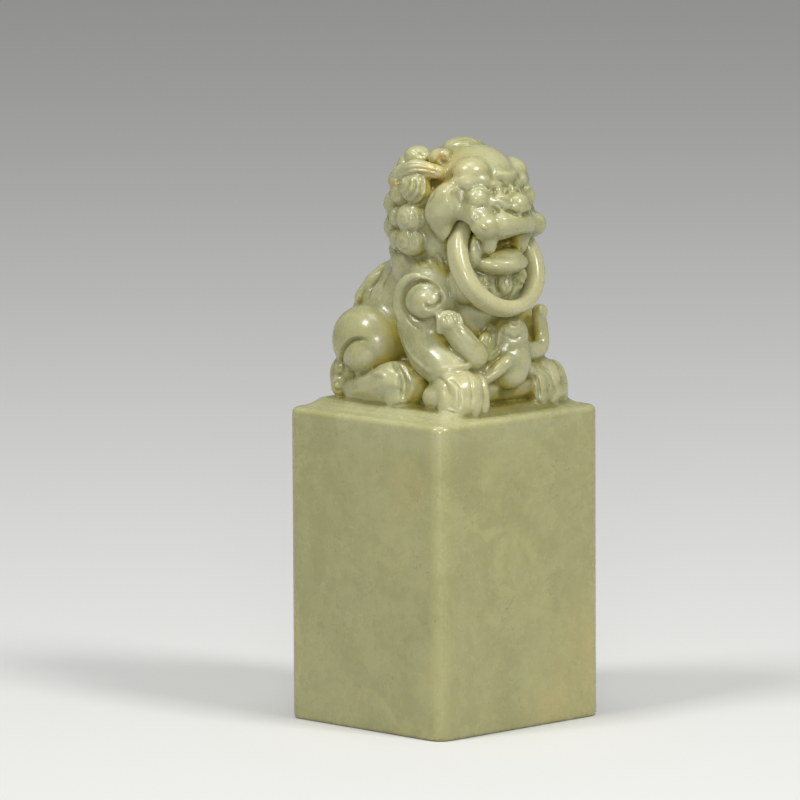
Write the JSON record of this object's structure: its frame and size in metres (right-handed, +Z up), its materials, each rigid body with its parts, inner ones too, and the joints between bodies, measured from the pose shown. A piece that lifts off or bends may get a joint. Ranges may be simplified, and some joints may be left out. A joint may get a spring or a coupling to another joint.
{
  "type": "seal stamp",
  "caption": "Square stone seal whose top is carved as a seated guardian lion with a cub between its forelegs and a loose ring hanging through its open mouth.",
  "frame": {"origin": "middle of the stamping face, on the plane the seal stands on", "axes": "+Z up through the lion, the lion faces -Y, +X is the lion's left"},
  "size_m": [0.035, 0.0334, 0.0898],
  "materials": {
    "block_stone": "polished, slightly translucent pale yellow-green soapstone with fine dark specks and pale veins",
    "carved_stone": "polished pale yellow-green soapstone, darker in the cut hollows, with a yellow-brown patch by one ear",
    "ring_stone": "polished pale yellow-green soapstone"
  },
  "bodies": {
    "stone": {"seal_block": "block_stone", "lion_body": "carved_stone", "lion_head": "carved_stone", "lion_cub": "carved_stone"},
    "ring": {"mouth_ring": "ring_stone"}
  },
  "joints": [
    {"name": "ring_swing", "type": "hinge", "parent": "stone", "child": "ring", "pos_m": [0, -0.0082, 0.078], "axis": [-1, 0, 0], "range_deg": [0, 24]}
  ]
}
